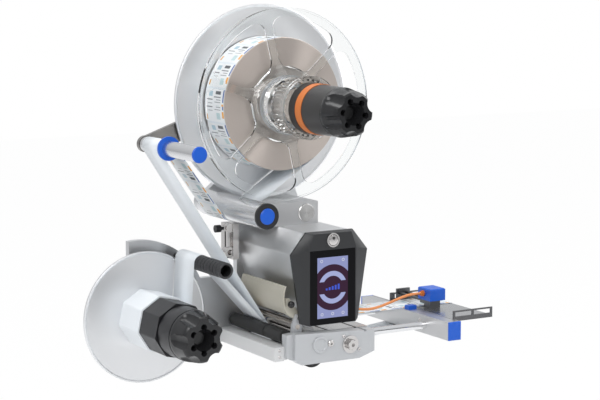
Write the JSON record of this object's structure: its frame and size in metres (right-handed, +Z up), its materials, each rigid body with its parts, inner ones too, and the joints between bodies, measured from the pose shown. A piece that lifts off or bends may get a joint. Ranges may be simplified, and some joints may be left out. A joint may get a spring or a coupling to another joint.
{
  "type": "label applicator head",
  "caption": "Label applicator head: unwinding reel with a clear flange, dancer and guide rollers, drive housing with a display, peel plate with a sensor, and a liner rewinder.",
  "frame": {"origin": "centre of the mounting holes on the rear face of the frame plate", "axes": "+X towards the peel plate, +Y out of the rear mounting face, away from the operator, +Z up"},
  "size_m": [0.6425, 0.342, 0.589],
  "materials": {
    "silver_paint": "satin silver paint, slightly pearly",
    "grey_paint": "satin grey enamel",
    "plate_anodised": "bead-blasted and clear anodised",
    "dark_anodised": "hard black anodised, matte",
    "satin_aluminium": "turned satin aluminium",
    "polished_steel": "polished stainless steel",
    "steel": "ground steel",
    "black_plastic": "fine-grained black moulding",
    "dark_plastic": "dark grey moulding, satin",
    "clear_plastic": "clear acrylic, polished",
    "glass_black": "black gloss panel glass",
    "blue_plastic": "blue moulding, gloss",
    "orange_plastic": "orange moulding, gloss",
    "beige_plastic": "warm beige sheet, satin",
    "black_rubber": "black rubber, smooth ground",
    "label_paper": "wound label stock, white face on a pale liner",
    "liner": "pale bluish release liner, smooth"
  },
  "bodies": {
    "frame": {"adjuster_bolt": "polished_steel", "arm_rod_front": "polished_steel", "arm_rod_rear": "polished_steel", "beam_caps": "blue_plastic", "bearing_block": "grey_paint", "bezel": "dark_plastic", "button_ring": "polished_steel", "cable_gland": "dark_plastic", "cable_grommet": "black_rubber", "clamp_fittings": "black_plastic", "cross_beam": "satin_aluminium", "display_housing": "silver_paint", "fence_front": "polished_steel", "fence_rear": "polished_steel", "frame_plate": "plate_anodised", "guard_pin": "steel", "left_bar": "grey_paint", "liner_return": "liner", "liner_rewind": "liner", "peel_plate": "satin_aluminium", "pivot_plug": "steel", "rewind_spindle": "steel", "screen_glass": "glass_black", "sensor_body": "blue_plastic", "sensor_cable": "orange_plastic", "sensor_mount": "steel", "supply_spindle": "steel", "table_plate": "satin_aluminium", "upper_block": "satin_aluminium", "web_dancer": "liner", "web_supply": "label_paper", "web_table": "liner"},
    "supply_reel": {"rear_flange": "satin_aluminium", "supply_mandrel": "dark_anodised", "label_roll": "label_paper"},
    "outer_flange": {"clear_flange": "clear_plastic", "clamp_sleeve": "dark_plastic", "orange_ring": "orange_plastic"},
    "supply_knob": {"supply_knob": "black_plastic"},
    "dancer_arm": {"dancer_arm": "dark_anodised"},
    "dancer_roller": {"dancer_tube": "satin_aluminium", "dancer_cap": "blue_plastic"},
    "guide_ring": {"guide_ring": "blue_plastic"},
    "idler": {"idler_tube": "satin_aluminium", "idler_end_ring": "black_plastic", "idler_cap": "blue_plastic"},
    "knurled_roller": {"knurled_roller": "steel"},
    "feed_roller": {"feed_roller": "polished_steel"},
    "rubber_roller": {"rubber_shaft": "steel", "rubber_sleeves": "black_rubber"},
    "drive_roller": {"drive_roller": "black_rubber"},
    "rewind_reel": {"rewind_flange": "satin_aluminium", "rewind_mandrel": "dark_anodised", "wound_liner": "liner"},
    "rewind_knob": {"rewind_knob": "black_plastic"},
    "push_button": {"push_button": "dark_plastic"},
    "edge_guide": {"edge_guide": "blue_plastic"},
    "infeed_guard": {"infeed_guard": "beige_plastic", "guard_knob": "black_plastic"},
    "thumb_screw": {"thumb_screw": "black_plastic"}
  },
  "joints": [
    {"name": "supply_spin", "type": "hinge", "parent": "frame", "child": "supply_reel", "pos_m": [-0.0315, 0, 0.277], "axis": [0, 1, 0], "continuous": true},
    {"name": "flange_slide", "type": "slide", "parent": "supply_reel", "child": "outer_flange", "axis": [0, -1, 0], "range_m": [0, 0.06]},
    {"name": "supply_knob_turn", "type": "hinge", "parent": "outer_flange", "child": "supply_knob", "pos_m": [-0.0315, 0, 0.277], "axis": [0, 1, 0], "range_deg": [-180, 0]},
    {"name": "dancer_swing", "type": "hinge", "parent": "frame", "child": "dancer_arm", "pos_m": [-0.0315, 0, 0.277], "axis": [0, 1, 0], "range_deg": [-18, 25], "stiffness_Nm_per_rad": 14, "springref_deg": 2.44, "deforming": ["web_dancer"]},
    {"name": "dancer_roll", "type": "hinge", "parent": "dancer_arm", "child": "dancer_roller", "pos_m": [-0.232, 0, 0.218], "axis": [0, 1, 0], "continuous": true},
    {"name": "guide_ring_slide", "type": "slide", "parent": "dancer_roller", "child": "guide_ring", "axis": [0, -1, 0], "range_m": [0, 0.06]},
    {"name": "idler_roll", "type": "hinge", "parent": "frame", "child": "idler", "pos_m": [-0.12, 0, 0.119], "axis": [0, 1, 0], "continuous": true},
    {"name": "knurled_roll", "type": "hinge", "parent": "frame", "child": "knurled_roller", "pos_m": [-0.176, 0, 0.037], "axis": [0, 1, 0], "continuous": true},
    {"name": "feed_roll", "type": "hinge", "parent": "frame", "child": "feed_roller", "pos_m": [-0.053, 0, -0.0613], "axis": [0, 1, 0], "continuous": true},
    {"name": "rubber_roll", "type": "hinge", "parent": "frame", "child": "rubber_roller", "pos_m": [-0.0715, 0, -0.076], "axis": [0, 1, 0], "continuous": true},
    {"name": "drive_roll", "type": "hinge", "parent": "frame", "child": "drive_roller", "pos_m": [-0.026, 0, -0.106], "axis": [0, 1, 0], "continuous": true},
    {"name": "rewind_spin", "type": "hinge", "parent": "frame", "child": "rewind_reel", "pos_m": [-0.2405, 0, -0.053], "axis": [0, 1, 0], "continuous": true},
    {"name": "rewind_knob_turn", "type": "hinge", "parent": "rewind_reel", "child": "rewind_knob", "pos_m": [-0.2405, 0, -0.053], "axis": [0, 1, 0], "range_deg": [-180, 0]},
    {"name": "button_press", "type": "slide", "parent": "frame", "child": "push_button", "axis": [0, 1, 0], "range_m": [0, 0.003], "stiffness_N_per_m": 1500, "springref_m": -0.001},
    {"name": "edge_guide_slide", "type": "slide", "parent": "frame", "child": "edge_guide", "axis": [0, -1, 0], "range_m": [0, 0.06]},
    {"name": "guard_swing", "type": "hinge", "parent": "frame", "child": "infeed_guard", "pos_m": [-0.0505, 0, -0.0465], "axis": [0, 1, 0], "range_deg": [-12, 0]},
    {"name": "thumb_screw_turn", "type": "hinge", "parent": "frame", "child": "thumb_screw", "pos_m": [-0.096, -0.021, 0.075], "axis": [1, 0, 0], "range_deg": [-180, 0]}
  ],
  "couplings": [
    {"joint": "rubber_roll", "follows": "drive_roll", "ratio": -2.0952},
    {"joint": "feed_roll", "follows": "drive_roll", "ratio": -2.4444},
    {"joint": "knurled_roll", "follows": "drive_roll", "ratio": -1.76},
    {"joint": "idler_roll", "follows": "drive_roll", "ratio": 1.1},
    {"joint": "dancer_roll", "follows": "drive_roll", "ratio": -1.8333}
  ]
}
